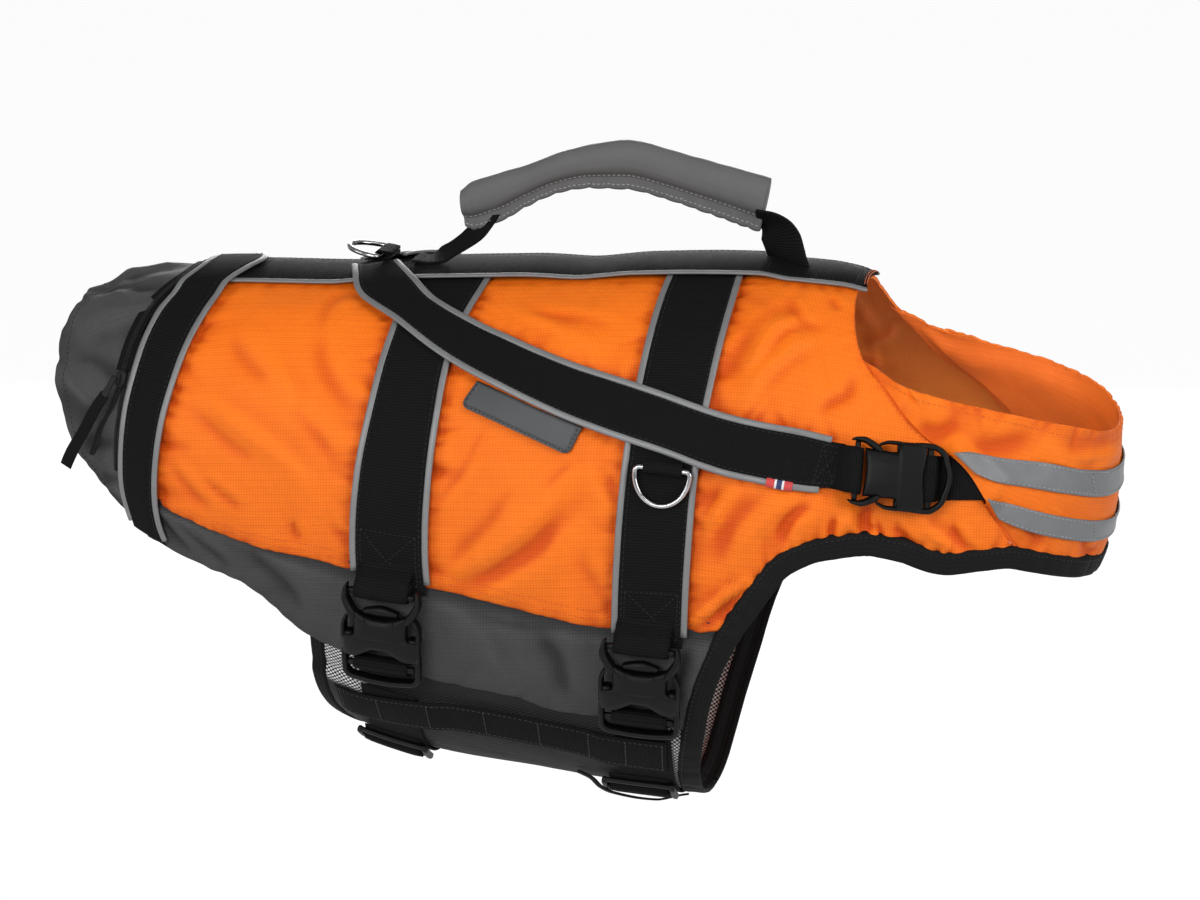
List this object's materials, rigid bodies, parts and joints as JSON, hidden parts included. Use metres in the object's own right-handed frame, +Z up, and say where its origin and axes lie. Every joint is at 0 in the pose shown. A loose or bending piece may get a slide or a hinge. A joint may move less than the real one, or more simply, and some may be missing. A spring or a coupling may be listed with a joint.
{
  "type": "dog life jacket",
  "caption": "Foam-filled dog life jacket, worn shape with no wearer: orange side panels, grey rump and lower panels, webbing straps, padded top handle, D-rings, chest collar and belly panel.",
  "frame": {"origin": "on the spine line inside the jacket, under the middle of the handle, where the dog's back holds it", "axes": "+X toward the dog's head, +Y to the dog's left, +Z up"},
  "size_m": [0.7115, 0.286, 0.4379],
  "materials": {
    "orange_ripstop": "matte ripstop nylon",
    "grey_ripstop": "matte ripstop nylon",
    "black_webbing": "woven polyester webbing",
    "reflective_piping": "grey reflective piping",
    "reflective_tape": "grey reflective tape",
    "grip_cloth": "grey woven nylon over padding",
    "binding_elastic": "ribbed elastic binding",
    "belly_twill": "black ribbed twill",
    "black_plastic": "moulded acetal, satin",
    "chrome_steel": "polished plated steel",
    "patch_rubber": "dark grey moulded rubber, bare",
    "flag_cloth": "woven folded tag"
  },
  "bodies": {
    "jacket": {"belly_binding": "binding_elastic", "belly_buckle_front_left": "black_plastic", "belly_buckle_front_right": "black_plastic", "belly_buckle_rear_left": "black_plastic", "belly_buckle_rear_right": "black_plastic", "belly_keeper": "binding_elastic", "belly_panel": "belly_twill", "belly_strap_front": "black_webbing", "belly_strap_rear": "black_webbing", "chest_collar": "orange_ripstop", "chest_strap": "black_webbing", "chest_tape_lower": "reflective_tape", "chest_tape_upper": "reflective_tape", "diagonal_piping_high_left": "reflective_piping", "diagonal_piping_high_right": "reflective_piping", "diagonal_piping_low_left": "reflective_piping", "diagonal_piping_low_right": "reflective_piping", "diagonal_strap_left": "black_webbing", "diagonal_strap_right": "black_webbing", "flag_tag": "flag_cloth", "front_strap": "black_webbing", "front_strap_piping_front": "reflective_piping", "front_strap_piping_rear": "reflective_piping", "handle_grip": "grip_cloth", "handle_leg_front": "black_webbing", "handle_leg_rear": "black_webbing", "label_patch": "patch_rubber", "ladder_left": "black_webbing", "ladder_right": "black_webbing", "left_ring_loop": "black_webbing", "leg_binding_left": "binding_elastic", "leg_binding_right": "binding_elastic", "lower_panel_left": "grey_ripstop", "lower_panel_right": "grey_ripstop", "mid_strap": "black_webbing", "mid_strap_piping_front": "reflective_piping", "mid_strap_piping_rear": "reflective_piping", "rear_band": "black_webbing", "rear_band_piping_front": "reflective_piping", "rear_band_piping_rear": "reflective_piping", "right_ring_loop": "black_webbing", "rump_piece": "grey_ripstop", "shoulder_buckle_left": "black_plastic", "shoulder_buckle_right": "black_plastic", "side_panel_left": "orange_ripstop", "side_panel_right": "orange_ripstop", "spine_band": "black_webbing", "spine_piping_left": "reflective_piping", "spine_piping_right": "reflective_piping", "top_ring_loop": "black_webbing", "triglide_front_left": "black_plastic", "triglide_front_right": "black_plastic", "triglide_rear_left": "black_plastic", "triglide_rear_right": "black_plastic", "zip_slider": "black_plastic", "zip_tape": "black_webbing"},
    "top_ring": {"top_ring": "chrome_steel"},
    "right_ring": {"right_ring": "chrome_steel"},
    "left_ring": {"left_ring": "chrome_steel"},
    "zip_pull": {"zip_pull": "black_webbing"}
  },
  "joints": [
    {"name": "top_ring_swing", "type": "hinge", "parent": "jacket", "child": "top_ring", "pos_m": [-0.16, 0, 0.0066], "axis": [0, 1, 0], "range_deg": [0, 150]},
    {"name": "right_ring_swing", "type": "hinge", "parent": "jacket", "child": "right_ring", "pos_m": [0.05586, -0.13265, -0.09877], "axis": [-0.997, -0.0088, 0.0772], "range_deg": [0, 150]},
    {"name": "left_ring_swing", "type": "hinge", "parent": "jacket", "child": "left_ring", "pos_m": [0.05586, 0.13265, -0.09877], "axis": [0.997, -0.0088, -0.0772], "range_deg": [0, 150]},
    {"name": "zip_pull_swing", "type": "hinge", "parent": "jacket", "child": "zip_pull", "pos_m": [-0.31953, -0.09373, -0.06546], "axis": [-0.7312, 0.5254, 0.4351], "range_deg": [0, 150]}
  ]
}
